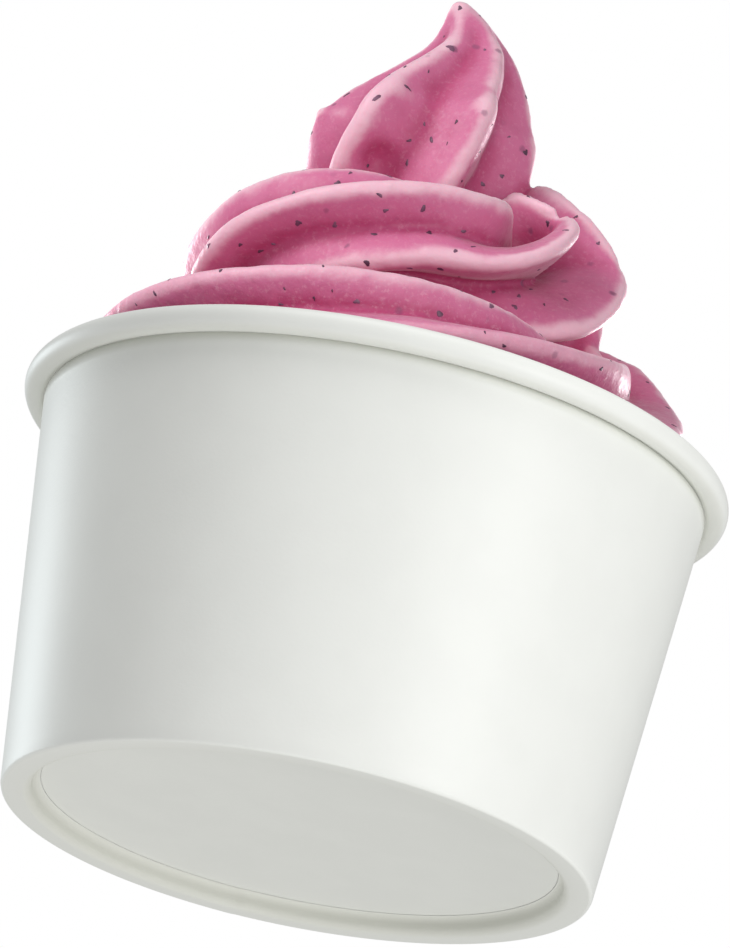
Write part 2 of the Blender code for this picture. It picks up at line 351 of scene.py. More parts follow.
class Recipe:
    """Node material that is being put together round one Principled shader."""

    def __init__(self, name: str) -> None:
        """Start a material and its Object coordinates.

        Args:
            name: Name of the material.
        """
        self.material = bpy.data.materials.new(name)
        self.material.use_nodes = True
        self.tree = self.material.node_tree
        self.shader = self.tree.nodes["Principled BSDF"]
        self.place = self.tree.nodes.new("ShaderNodeTexCoord").outputs["Object"]

    def node(
        self, kind: str, inputs: dict[str | int, Value] | None = None, **settings: str
    ) -> bpy.types.Node:
        """Add a node, set it and feed it.

        Args:
            kind: Node type without the ShaderNode prefix.
            inputs: Values or output sockets by input name or number.
            **settings: Properties of the node.

        Returns:
            The node.
        """
        made = self.tree.nodes.new("ShaderNode" + kind)
        for key, value in settings.items():
            setattr(made, key, value)
        for key, value in (inputs or {}).items():
            self.feed(made.inputs[key], value)
        return made

    def feed(self, socket: bpy.types.NodeSocket, value: Value) -> None:
        """Link an output to a socket, or set the socket to a value.

        Args:
            socket: Input to feed.
            value: Output socket, number or vector.
        """
        if isinstance(value, bpy.types.NodeSocket):
            self.tree.links.new(value, socket)
        else:
            socket.default_value = value

    def noise(
        self, size: float, detail: float = 2.0, rough: float = 0.5
    ) -> bpy.types.NodeSocket:
        """Noise whose grains are about `size` metres wide, from 0 to 1."""
        inputs = {"Vector": self.place, "Scale": 1.0 / size, "Detail": detail, "Roughness": rough}
        return self.node("TexNoise", inputs).outputs["Fac"]

    def spread(
        self, value: Value, low: float, high: float, out_low: float = 0.0, out_high: float = 1.0
    ) -> bpy.types.NodeSocket:
        """Value stretched smoothly from one range to another, and held at its ends."""
        inputs = {0: value, 1: low, 2: high, 3: out_low, 4: out_high}
        return self.node("MapRange", inputs, interpolation_type="SMOOTHSTEP").outputs[0]

    def read(self, attribute: str) -> bpy.types.NodeSocket:
        """Value of a mesh's attribute, or 0 where the mesh has none of that name."""
        return self.node("Attribute", attribute_name=attribute).outputs["Fac"]

    def sums(self, operation: str, first: Value, second: Value) -> bpy.types.NodeSocket:
        """Result of a Math node."""
        return self.node("Math", {0: first, 1: second}, operation=operation).outputs[0]

    def blend(self, share: Value, first: Value, second: Value) -> bpy.types.NodeSocket:
        """Colour between two colours.

        Args:
            share: How far the colour is from the first to the second, from 0 to 1.
            first: Colour at 0.
            second: Colour at 1.

        Returns:
            Output that holds the colour.
        """
        mix = self.node("Mix", data_type="RGBA")
        self.feed(mix.inputs["Factor"], share)
        for socket, colour in ((mix.inputs[6], first), (mix.inputs[7], second)):
            self.feed(socket, (*colour, 1.0) if isinstance(colour, tuple) else colour)
        return mix.outputs[2]

    def bump(
        self, height: Value, strength: float, depth: float, under: Value | None = None
    ) -> bpy.types.NodeSocket:
        """Normal with a fine relief.

        Args:
            height: Height of the relief, about 0 to 1.
            strength: Share of the relief that is kept.
            depth: Depth in metres that a height of 1 stands for.
            under: Normal of a relief that this one is laid over.

        Returns:
            Output that holds the normal.
        """
        inputs = {"Height": height, "Strength": strength, "Distance": depth}
        if under is not None:
            inputs["Normal"] = under
        return self.node("Bump", inputs).outputs["Normal"]

    def finish(self, **inputs: Value) -> bpy.types.Material:
        """Feed the Principled shader and return the material.

        Args:
            **inputs: Values or sockets by input name, with _ for each space.

        Returns:
            The finished material.
        """
        for key, value in inputs.items():
            name = key.replace("_", " ")
            socket = self.shader.inputs[name]
            if isinstance(value, tuple) and len(value) == 3 and socket.type == "RGBA":
                value = (*value, 1.0)
            self.feed(socket, value)
        return self.material


@dataclass(frozen=True)
class YogurtFinish:
    """Pink frozen yogurt with an icy grain: painted shade darkens the flutes and a painted
    highlight whitens the crests and edges.
    """

    # Colour of the painted shade in the flutes.
    painted_flute_shade: Colour = (0.47, 0.070, 0.180)
    body: Colour = (0.62, 0.165, 0.315)
    # pale is the painted highlight on crests and edges, and also the tone of the frost.
    pale: Colour = (0.90, 0.62, 0.70)
    speck: Colour = (0.20, 0.065, 0.14)
    frost_tint: Colour = (1.0, 0.90, 0.94)
    roughness: float = 0.48
    bloom: float = 0.35

    def material(self) -> bpy.types.Material:
        """Colours follow the crest and edge attributes, which are positive on ridges: painted shade
        where they are low, in the flutes, and a painted highlight where they are high, on the
        crests and edges.

        Low down, in the coils, the painted highlight on the crests is weaker and the ice and the
        wrinkles are stronger than in the peak.

        Returns:
            The finished material.
        """
        recipe = Recipe("pink_frozen_yogurt")
        crest = recipe.read("crest")
        cloud = recipe.noise(5.0 * MM, 4.0, 0.6)
        wander = recipe.spread(cloud, 0.3, 0.7, -0.22, 0.22)
        level = recipe.sums("ADD", crest, wander)
        # Painted shade: where crest is low, in the flutes, the tone goes to the flute shade colour.
        depth = recipe.spread(level, -0.9, 0.5)
        tone = recipe.blend(depth, self.painted_flute_shade, self.body)
        # Painted highlight: on crests and edges the tone goes pale, less so low in the coils.
        edge = recipe.sums("ADD", recipe.read("edge"), wander)
        height = recipe.node("SeparateXYZ", {0: recipe.place}).outputs["Z"]
        strength = recipe.spread(height, 58.0 * MM, 72.0 * MM, 0.35, 0.72)
        share = recipe.sums("MULTIPLY", recipe.spread(edge, 0.5, 1.6), strength)
        tone = recipe.blend(share, tone, self.pale)
        ice = recipe.spread(height, 62.0 * MM, 78.0 * MM, 0.22, 0.12)
        frost = recipe.spread(recipe.noise(0.7 * MM, 4.0, 0.7), 0.50, 0.72)
        tone = recipe.blend(recipe.sums("MULTIPLY", frost, ice), tone, self.pale)
        tone = recipe.blend(self.sunken(recipe), tone, self.speck)
        grain = recipe.bump(recipe.noise(0.55 * MM, 3.0, 0.6), 0.45, 0.10 * MM)
        folded = recipe.spread(height, 62.0 * MM, 80.0 * MM, 1.7, 0.7)
        wrinkles = recipe.sums("MULTIPLY", recipe.noise(1.8 * MM, 3.0, 0.55), folded)
        grain = recipe.bump(wrinkles, 0.5, 0.25 * MM, grain)
        low, high = self.roughness - 0.06, self.roughness + 0.08
        return recipe.finish(
            Base_Color=tone,
            Roughness=recipe.spread(recipe.noise(0.8 * MM), 0.3, 0.7, low, high),
            Normal=grain,
            Subsurface_Weight=0.25,
            Subsurface_Radius=(1.0, 0.35, 0.5),
            Subsurface_Scale=1.6 * MM,
            Sheen_Weight=self.bloom,
            Sheen_Roughness=0.3,
            Sheen_Tint=self.frost_tint,
            IOR=1.38,
        )

    def sunken(self, recipe: Recipe) -> bpy.types.NodeSocket:
        """Share of fruit that shows through from just below the surface.

        About a third of the cells of a Voronoi pattern, 3 mm wide and bent by noise,
        hold a blurred spot about 1 mm wide at their middle.

        Args:
            recipe: Material that the fruit is added to.

        Returns:
            Output that holds the share, from 0 to 0.75.
        """
        cell = 3.0 * MM
        bend = recipe.node("TexNoise", {"Vector": recipe.place, "Scale": 1.2 / MM}).outputs["Color"]
        inputs = {0: bend, 1: (0.5 * MM,) * 3, 2: recipe.place}
        bent = recipe.node("VectorMath", inputs, operation="MULTIPLY_ADD").outputs[0]
        cells = recipe.node("TexVoronoi", {"Vector": bent, "Scale": 1.0 / cell})
        spot = recipe.spread(cells.outputs["Distance"], 0.10, 0.24, 1.0, 0.0)
        draw = recipe.node("SeparateColor", {0: cells.outputs["Color"]}).outputs[0]
        kept = recipe.spread(draw, 0.62, 0.95, 0.0, 0.75)
        return recipe.sums("MULTIPLY", spot, kept)


@dataclass(frozen=True)
class FleckFinish:
    """Dark fruit skin in small flakes."""

    dark: Colour = (0.085, 0.030, 0.065)
    light: Colour = (0.20, 0.085, 0.15)

    def material(self) -> bpy.types.Material:
        """Tone wanders from flake to flake.

        Returns:
            The finished material.
        """
        recipe = Recipe("fruit_skin")
        wander = recipe.spread(recipe.noise(2.5 * MM, 1.0), 0.35, 0.65)
        tone = recipe.blend(wander, self.dark, self.light)
        relief = recipe.bump(recipe.noise(0.2 * MM), 0.5, 0.05 * MM)
        return recipe.finish(Base_Color=tone, Roughness=0.45, Normal=relief)


@dataclass(frozen=True)
class PaperFinish:
    """White paper with a faint mottle, coated but for the sides turned to the table."""

    name: str
    coated: Colour = (0.855, 0.868, 0.832)
    uncoated: Colour = (0.78, 0.79, 0.745)
    # Colour of the painted shade at the step and in the crease under the roll.
    shaded: Colour = (0.60, 0.60, 0.51)
    coated_roughness: float = 0.42
    uncoated_roughness: float = 0.60
    bare: bool = False

    def material(self) -> bpy.types.Material:
        """Mottle at 8 mm, dimples at 0.6 mm and fibres at 0.3 mm.

        The attributes plain and painted_shade_mask, where a mesh has them, turn the paper to
        its uncoated tone and to the shaded tone of painted shade at the step and in the crease.

        Returns:
            The finished material.
        """
        recipe = Recipe(self.name)
        face = self.uncoated if self.bare else self.coated
        rough = self.uncoated_roughness if self.bare else self.coated_roughness
        mottle = recipe.spread(recipe.noise(8.0 * MM, 3.0), 0.35, 0.65)
        tone = recipe.blend(mottle, face, tuple(0.985 * part for part in face))
        plain = recipe.read("plain")
        tone = recipe.blend(plain, tone, self.uncoated)
        # Painted shade: darker olive tone about the step's round edge and in the crease under the
        # roll.
        painted_shade_share = recipe.spread(recipe.read("painted_shade_mask"), 0.0, 1.0, 0.0, 0.4)
        tone = recipe.blend(painted_shade_share, tone, self.shaded)
        skin = recipe.bump(recipe.noise(0.6 * MM, 1.0), 0.16, 0.08 * MM)
        skin = recipe.bump(recipe.noise(0.3 * MM, 2.0), 0.10, 0.04 * MM, skin)
        return recipe.finish(
            Base_Color=tone,
            Roughness=recipe.spread(plain, 0.0, 1.0, rough, self.uncoated_roughness),
            Normal=skin,
            Specular_IOR_Level=0.35,
        )


# ---------------------------------------------------------------------------
# Pieces
# ---------------------------------------------------------------------------


def add_piece(
    name: str, mesh: bpy.types.Mesh, material: bpy.types.Material, node: Node
) -> bpy.types.Object:
    """Put a finished mesh in the scene as a piece of the object.

    Args:
        name: Name of the piece.
        mesh: Its mesh, in the frame's coordinates.
        material: Its finish.
        node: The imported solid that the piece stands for.

    Returns:
        The new object.
    """
    mesh.materials.clear()
    mesh.materials.append(material)
    mesh.shade_smooth()
    piece = bpy.data.objects.new(name, mesh)
    bpy.context.scene.collection.objects.link(piece)
    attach(piece, "root")
    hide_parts(node.value)
    log.info("%s: %d faces", name, len(mesh.polygons))
    return piece


def evaluated_mesh(thing: bpy.types.Object, name: str) -> bpy.types.Mesh:
    """New mesh of an object with its modifiers applied.

    Args:
        thing: Object to read.
        name: Name of the new mesh.

    Returns:
        The mesh.
    """
    graph = bpy.context.evaluated_depsgraph_get()
    graph.update()
    mesh = bpy.data.meshes.new_from_object(thing.evaluated_get(graph))
    mesh.name = name
    return mesh


@dataclass
class FlutedRope:
    """Rope from a six-pointed nozzle, laid in coils and drawn up to a tip.

    An angle along it counts on round the cup: -90 and 270 are the front, -180 and 180
    the left, and the peak starts at 450. Lengths are millimetres, angles degrees.
    """

    centre_distance: Pairs = (
        (-400, 27), (-270, 27), (-180, 28), (-90, 31), (-45, 30.5), (-20, 29), (0, 28.3),
        (20, 26.5), (90, 22), (180, 22), (270, 19), (360, 12), (450, 4), (500, 4), (545, 0),
        (590, 0),
    )
    slide: Pairs = (
        (-400, 0), (500, 0), (538, -2.1), (550, -1.2), (560, 0.8), (569, 1.9), (578, 1.2),
        (590, -1),
    )
    centre_height: Pairs = (
        (-400, 45), (-270, 52), (-180, 59.2), (-135, 60.6), (-90, 61), (-45, 60), (-15, 62.5),
        (0, 65.5), (20, 72), (45, 74.5), (90, 75), (180, 76.2), (225, 79), (270, 79.6),
        (300, 78.4), (315, 78.4), (338, 80.4), (360, 82.4), (450, 83), (500, 91), (535, 99),
        (550, 105), (570, 115), (590, 122.2),
    )
    half_width: Pairs = (
        (-400, 14), (-180, 14), (-90, 12), (-45, 11), (-15, 12.3), (20, 10.3), (90, 12),
        (200, 9.8), (270, 11), (315, 16), (335, 16.6), (362, 14.5), (390, 14), (450, 15),
        (500, 14.5), (530, 16.6), (543, 16.6), (551, 14.1), (558, 11.3), (565, 8.2), (573, 5.6),
        (582, 3.5), (590, 1.4),
    )
    half_height: Pairs = (
        (-400, 10), (-180, 9.5), (-90, 8), (0, 10), (90, 11), (180, 9), (270, 9), (300, 11),
        (315, 13.5), (322, 14), (335, 14), (345, 15), (360, 16), (400, 17.5), (450, 16),
        (500, 14.5), (530, 15.8), (543, 15.4), (551, 13.5), (558, 11), (565, 8.2), (573, 5.6),
        (582, 3.5), (590, 1.4),
    )
    ridge_roll: Pairs = (
        (-400, -210), (-270, -90), (-180, -5), (-90, 45), (0, 140), (90, 210), (180, 325),
        (270, 390), (285, 403), (300, 429), (315, 458), (335, 484), (360, 540), (450, 545),
        (535, 530), (590, 525),
    )
    crowding: Pairs = (
        (-400, 0.35), (270, 0.3), (330, 0.4), (400, 0.32), (450, 0.2), (510, 0), (590, 0),
    )
    flute_depth: Pairs = (
        (-400, 0.36), (275, 0.36), (305, 0.56), (370, 0.56), (400, 0.5), (480, 0.38), (555, 0.36),
        (575, 0.25), (590, 0),
    )
    peak_angle: float = 450.0
    bend_limit: float = 0.8
    bend_softness: float = 0.06
    bend_window: float = 30.0
    ridges: int = 6
    crest_rounding: float = 0.18
    flute_power: float = 0.85
    skin: float = 0.65

    def frames(self, angles: np.ndarray) -> tuple[np.ndarray, np.ndarray, np.ndarray]:
        """Centre line with its outward and upward directions.

        The centre is at (d cos a, d sin a, h), with the distance d and height h of the
        laws. Outward points away from the cup's axis along the coils; from the peak on
        it is carried along the line without turning about it. Last, the centres slide
        to the right by the slide law, which leaves the directions as they are.

        Args:
            angles: Angles along the rope, in degrees.

        Returns:
            Centres in metres, outward directions and upward directions.
        """
        turn = np.radians(angles)
        radial = np.stack([np.cos(turn), np.sin(turn), np.zeros_like(turn)], axis=1)
        centre = radial * law(self.centre_distance, angles)[:, None] * MM
        centre[:, 2] = law(self.centre_height, angles) * MM
        along = unit(np.gradient(centre, axis=0))
        outward = unit(radial - along * np.sum(radial * along, axis=1, keepdims=True))
        first = int(np.searchsorted(angles, self.peak_angle))
        for i in range(first + 1, len(angles)):
            carried = outward[i - 1] - along[i] * np.dot(outward[i - 1], along[i])
            outward[i] = unit(carried)
        centre[:, 0] += law(self.slide, angles) * MM
        return centre, outward, np.cross(outward, along)

    def grid(self, stations: int, count: int) -> np.ndarray:
        """Rings of points on the rope's skin.

        The section is an ellipse whose radius drops between ridges with a power of the
        sine of the ridge angle, rounded off at the crests. Where the ridges crowd to
        the inner side, the flutes of the outer side are wider and deeper.

        Args:
            stations: Number of rings.
            count: Number of points in each ring.

        Returns:
            Points in metres, (stations, count, 3).
        """
        angles = np.linspace(self.ridge_roll[0][0], self.ridge_roll[-1][0], stations)
        centre, outward, upward = self.frames(angles)
        ring = np.linspace(0.0, math.tau, count, endpoint=False)[None, :]
        rolled = np.radians(law(self.ridge_roll, angles))[:, None] - ring
        crowding = law(self.crowding, angles)[:, None]
        angle = rolled + crowding * np.sin(rolled)
        width = 1.0 + crowding * np.cos(rolled)
        half = 0.5 * self.flute_power
        crest = self.crest_rounding**2
        wave = np.sin(0.5 * self.ridges * ring) ** 2
        hollow = ((wave + crest) ** half - crest**half) / ((1 + crest) ** half - crest**half)
        radius = 1.0 - law(self.flute_depth, angles)[:, None] * width**1.5 * hollow
        half_width = (law(self.half_width, angles) - self.skin)[:, None] * MM
        half_height = (law(self.half_height, angles) - self.skin)[:, None] * MM
        across = (half_width * radius * np.cos(angle))[..., None] * outward[:, None, :]
        above = (half_height * radius * np.sin(angle))[..., None] * upward[:, None, :]
        return centre[:, None, :] + self.unfolded(across + above, centre, angles)

    def unfolded(self, offsets: np.ndarray, centre: np.ndarray, angles: np.ndarray) -> np.ndarray:
        """Offsets from the centre line, held short of the middle of its bends.

        The bend vector is the change of the line's direction per metre, averaged over a
        window of angles. An offset whose product with it passes the limit would reach
        beyond the middle of the bend, so it is drawn back along the vector, softly.

        Args:
            offsets: Offsets of the ring points, (stations, count, 3).
            centre: Points of the centre line.
            angles: Angles along the rope, evenly spaced, in degrees.

        Returns:
            Offsets that no longer cross each other at the bends.
        """
        along = unit(np.gradient(centre, axis=0))
        pace = np.linalg.norm(np.gradient(centre, axis=0), axis=1)
        bend = np.gradient(along, axis=0) / pace[:, None]
        half = int(0.5 * self.bend_window / (angles[1] - angles[0]))
        window = np.hanning(2 * half + 3)[1:-1]
        padded = np.pad(bend, ((half, half), (0, 0)), mode="edge")
        bend = np.stack(
            [np.convolve(padded[:, k], window / window.sum(), mode="valid") for k in range(3)], 1
        )
        reach = np.einsum("sck,sk->sc", offsets, bend)
        past = (reach - self.bend_limit) / self.bend_softness
        excess = self.bend_softness * np.logaddexp(0.0, past)
        size = np.maximum(np.sum(bend**2, axis=1), (1.0 / (100.0 * MM)) ** 2)
        return offsets - excess[..., None] * (bend / size[:, None])[:, None, :]


@dataclass(frozen=True)
class Hollow:
    """Place where the rope has sunk or swollen, in millimetres."""

    place: tuple[float, float, float]
    reach: float
    push: tuple[float, float, float]

    def shift(self, points: np.ndarray) -> np.ndarray:
        """Movement of each point: the push times exp(-(distance / reach) ** 2).

        Args:
            points: Points in metres.

        Returns:
            Movements in metres.
        """
        away = np.linalg.norm(points / MM - np.array(self.place), axis=1)
        return np.exp(-((away / self.reach) ** 2))[:, None] * np.array(self.push) * MM


@dataclass
class YogurtSwirl:
    """The coils and the peak, fused where they touch, down to the filling's top."""

    rope: FlutedRope
    finish: YogurtFinish
    level: float
    core: Pairs = ((28.0, 48.0), (27.0, 60.0), (24.0, 68.0), (17.0, 79.0), (9.0, 87.0))
    core_steps: int = 72
    voxel: float = 0.5 * MM
    stations: int = 1000
    ring: int = 200
    sunk: float = 1.5 * MM
    hollows: tuple[Hollow, ...] = (
        Hollow((12.8, -13.5, 86.8), 4.2, (2.2, 4.6, -1.6)),
        Hollow((-7.6, -10.0, 93.2), 3.0, (-0.4, 1.8, 1.2)),
        Hollow((-16.5, -0.6, 103.6), 2.6, (0.3, 0.4, -0.2)),
        Hollow((-15.6, -0.6, 98.6), 3.4, (-0.9, 0.2, 0.0)),
    )

    def core_grid(self) -> np.ndarray:
        """Rings of the rounded core that the coils close round: (r cos a, r sin a, h).

        Returns:
            Points in metres, (rings, steps, 3).
        """
        rows = np.asarray(self.core) * MM
        turn = np.linspace(0.0, math.tau, self.core_steps, endpoint=False)
        radius = rows[:, :1]
        height = np.repeat(rows[:, 1:], self.core_steps, axis=1)
        return np.stack([radius * np.cos(turn), radius * np.sin(turn), height], axis=-1)

    def melted(self, mesh: bpy.types.Mesh) -> bpy.types.Mesh:
        """Melt everything in a mesh into one skin.

        Args:
            mesh: Closed bodies that may overlap.

        Returns:
            New mesh of even small quads.
        """
        thing = bpy.data.objects.new("melting", mesh)
        bpy.context.scene.collection.objects.link(thing)
        melt = thing.modifiers.new("Melt", "REMESH")
        melt.mode = "VOXEL"
        melt.voxel_size = self.voxel
        fresh = evaluated_mesh(thing, "melted")
        bpy.data.objects.remove(thing)
        return fresh

    def fused(self) -> bpy.types.Mesh:
        """Coils and core melted into one skin, cut flat below the filling's level.

        The rope is laid thinner than its size by its skin. Melting it, relaxing it and
        moving it out by that skin rounds the creases between the coils.

        Returns:
            The mesh.
        """
        raw = capped_tubes("coils", [self.rope.grid(self.stations, self.ring), self.core_grid()])
        mesh = self.melted(raw)
        skin = Skin(mesh)
        skin.points = skin.relaxed(skin.points, 4)
        skin.write()
        skin.points += skin.normals() * self.rope.skin * MM
        skin.write()
        mesh = self.melted(mesh)
        mesh.name = "yogurt_swirl"
        work = bmesh.new()
        work.from_mesh(mesh)
        everything = work.verts[:] + work.edges[:] + work.faces[:]
        cut = bmesh.ops.bisect_plane(
            work,
            geom=everything,
            dist=1e-6,
            plane_co=(0.0, 0.0, self.level - self.sunk),
            plane_no=(0.0, 0.0, 1.0),
            clear_inner=True,
        )
        edges = [e for e in cut["geom_cut"] if isinstance(e, bmesh.types.BMEdge)]
        bmesh.ops.triangle_fill(work, edges=edges, use_beauty=True)
        bmesh.ops.recalc_face_normals(work, faces=work.faces)
        work.to_mesh(mesh)
        work.free()
        return mesh

    def relief(self, skin: Skin) -> np.ndarray:
        """Slow unevenness, ripples and grain of the surface.

        Args:
            skin: The swirl's points.

        Returns:
            How far each point stands out, in metres.
        """
        points = skin.points
        slow = smooth_noise(points, 9.0 * MM, 11) * 0.16 * MM
        ripple = smooth_noise(points, 3.2 * MM, 12) * 0.07 * MM
        grain = smooth_noise(points, 1.3 * MM, 13) * 0.035 * MM
        return slow + ripple + grain

    def build(self) -> bpy.types.Object:
        """Make the swirl with its relief and the attributes that its finish reads.

        Crest is how far a point stands out of the surface smoothed over about 2 mm, as
        a share of 0.35 mm. Edge is the same for 1 mm and a share of 0.1 mm. The finish
        paints shade where they are low and a highlight where they are high.

        Returns:
            The piece.
        """
        mesh = self.fused()
        skin = Skin(mesh)
        skin.points = skin.relaxed(skin.points, 3)
        skin.points += sum(hollow.shift(skin.points) for hollow in self.hollows)
        skin.write()
        normals = skin.normals()
        # crest and edge steer the painted flute shade and the painted ridge highlight.
        for name, rounds, share in (("edge", 12, 0.10 * MM), ("crest", 40, 0.35 * MM)):
            flat = skin.relaxed(skin.points, rounds)
            stands = np.sum((skin.points - flat) * normals, axis=1) / share
            stands = skin.relaxed(stands[:, None], 3)[:, 0]
            skin.mark(name, np.clip(stands, -2.0, 2.0))
        foot = np.clip((skin.points[:, 2] - self.level) / (1.0 * MM), 0.0, 1.0)
        skin.points += normals * (self.relief(skin) * foot)[:, None]
        skin.write()
        return add_piece("yogurt_swirl", mesh, self.finish.material(), Node.YOGURT)


@dataclass
class Filling:
    """Frozen yogurt inside the tub, with an uneven top."""

    level: float
    bottom: float
    lower: float
    upper: float
    steps: int = 180

    def build(self, material: bpy.types.Material) -> bpy.types.Object:
        """Turn the filling's section, then raise its top here and there.

        Args:
            material: The finish of the frozen yogurt.

        Returns:
            The piece.
        """
        soft = 1.0 * MM
        rings = np.linspace(0.0, self.upper - soft, 40)
        top = np.stack([rings, np.full_like(rings, self.level)], axis=1)
        side = np.array([(self.upper, self.level - soft), (self.lower, self.bottom + soft)])
        under = np.array([(self.lower - soft, self.bottom), (0.0, self.bottom)])
        mesh = turned("yogurt_filling", np.concatenate([top, side, under]), self.steps)
        skin = Skin(mesh)
        lift = smooth_noise(skin.points, 12.0 * MM, 21) * 0.35 * MM
        on_top = np.abs(skin.points[:, 2] - self.level) < 1e-6
        skin.points[:, 2] += np.where(on_top, lift, 0.0)
        skin.write()
        # A crest of -0.1 gives the filling a little of the painted flute shade.
        skin.mark("crest", np.full(len(skin.points), -0.1))
        return add_piece("yogurt_filling", mesh, material, Node.YOGURT)


@dataclass
class FruitFlecks:
    """Thin flakes of dark fruit skin, half sunk in the swirl."""

    finish: FleckFinish
    count: int = 560
    rim: int = 10
    least: float = 0.24 * MM
    most: float = 0.80 * MM
    thickness: float = 0.06 * MM
    apart: float = 2.2 * MM
    seed: int = 5

    def spots(self, host: bpy.types.Mesh, level: float) -> tuple[np.ndarray, np.ndarray]:
        """Random places on the host's faces, weighted by area, with their normals.

        A place is the sum of a triangle's corners, each times a random share.

        Args:
            host: Mesh that carries the flakes.
            level: Height under which there are none.

        Returns:
            Places and unit normals.
        """
        host.calc_loop_triangles()
        corners = np.empty(len(host.loop_triangles) * 3, np.int32)
        host.loop_triangles.foreach_get("vertices", corners)
        corners = corners.reshape(-1, 3)
        skin = Skin(host)
        triangle = skin.points[corners]
        across = np.cross(triangle[:, 1] - triangle[:, 0], triangle[:, 2] - triangle[:, 0])
        area = np.linalg.norm(across, axis=1) * (triangle[:, :, 2].min(axis=1) > level)
        chance = np.random.default_rng(self.seed)
        chosen = chance.choice(len(area), size=self.count * 2, p=area / area.sum())
        share = chance.dirichlet((1.0, 1.0, 1.0), len(chosen))
        place = np.sum(triangle[chosen] * share[:, :, None], axis=1)
        normal = unit(np.sum(skin.normals()[corners[chosen]] * share[:, :, None], axis=1))
        gap = np.linalg.norm(place[:, None] - place[None, :], axis=-1)
        crowded = np.any(np.tril(gap < self.apart, -1), axis=1)
        return place[~crowded][: self.count], normal[~crowded][: self.count]

    @staticmethod
    def laid(points: np.ndarray, host: bpy.types.Object) -> np.ndarray:
        """Move points on to the nearest places of the host's surface.

        Args:
            points: Points in metres, in an array whose last axis holds x, y and z.
            host: Piece that they are laid on.

        Returns:
            Array of the same shape.
        """
        mesh = bpy.data.meshes.new("laid")
        mesh.from_pydata(points.reshape(-1, 3).tolist(), [], [])
        thing = bpy.data.objects.new("laid", mesh)
        bpy.context.scene.collection.objects.link(thing)
        wrap = thing.modifiers.new("Wrap", "SHRINKWRAP")
        wrap.target = host
        found = evaluated_mesh(thing, "laid_down")
        bpy.data.objects.remove(thing)
        moved = np.empty(points.size, np.float32)
        found.vertices.foreach_get("co", moved)
        bpy.data.meshes.remove(found)
        return moved.reshape(points.shape).astype(float)

    def build(self, host: bpy.types.Object, level: float) -> bpy.types.Object:
        """Make all the flakes as one mesh.

        A flake's rim is at the radius 1 + p cos(a) + q cos(2a) + r cos(3a) times its half
        length and half width; its middle rises above the rim and its back is sunk.

        Args:
            host: Piece that carries the flakes.
            level: Height under which there are none.

        Returns:
            The piece.
        """
        place, normal = self.spots(host.data, level)
        chance = np.random.default_rng(self.seed + 1)
        count = len(place)
        side = unit(np.cross(normal, chance.normal(size=(count, 3))))
        front = np.cross(normal, side)
        turn = np.linspace(0.0, math.tau, self.rim, endpoint=False)[None, :]
        phase = chance.uniform(0.0, math.tau, (3, count, 1))
        swing = chance.uniform(0.1, 0.35, (3, count, 1)) * np.array([0.6, 1.0, 0.9])[:, None, None]
        radius = 1.0 + sum(swing[k] * np.cos((k + 1) * turn - phase[k]) for k in range(3))
        length = self.least + (self.most - self.least) * chance.beta(1.6, 2.6, (count, 1))
        width = length * chance.uniform(0.35, 0.9, (count, 1))
        rim = (length * radius * np.cos(turn))[..., None] * side[:, None, :]
        rim = rim + (width * radius * np.sin(turn))[..., None] * front[:, None, :]
        still = np.zeros((count, 1, 3))
        flat = np.concatenate([still, 0.75 * rim, rim, still], axis=1) + place[:, None]
        lift = self.thickness * np.concatenate(
            [[1.0], np.full(self.rim, 0.8), np.full(self.rim, -1.0), [-2.0]]
        )
        points = self.laid(flat, host) + normal[:, None] * lift[None, :, None]
        around = np.arange(self.rim)
        ahead = np.roll(around, -1)
        cap = np.stack([np.zeros_like(around), 1 + around, 1 + ahead], axis=1)
        first = 1 + self.rim
        skirt = np.concatenate(
            [
                np.stack([1 + around, first + around, first + ahead], axis=1),
                np.stack([1 + around, first + ahead, 1 + ahead], axis=1),
            ]
        )
        foot = np.stack([np.full_like(around, first + self.rim), first + ahead, first + around], 1)
        one = np.concatenate([cap, skirt, foot])
        faces = one[None] + (np.arange(count) * points.shape[1])[:, None, None]
        mesh = bpy.data.meshes.new("fruit_flecks")
        mesh.from_pydata(points.reshape(-1, 3).tolist(), [], faces.reshape(-1, 3).tolist())
        mend(mesh, merge=0.0)
        return add_piece("fruit_flecks", mesh, self.finish.material(), Node.YOGURT)


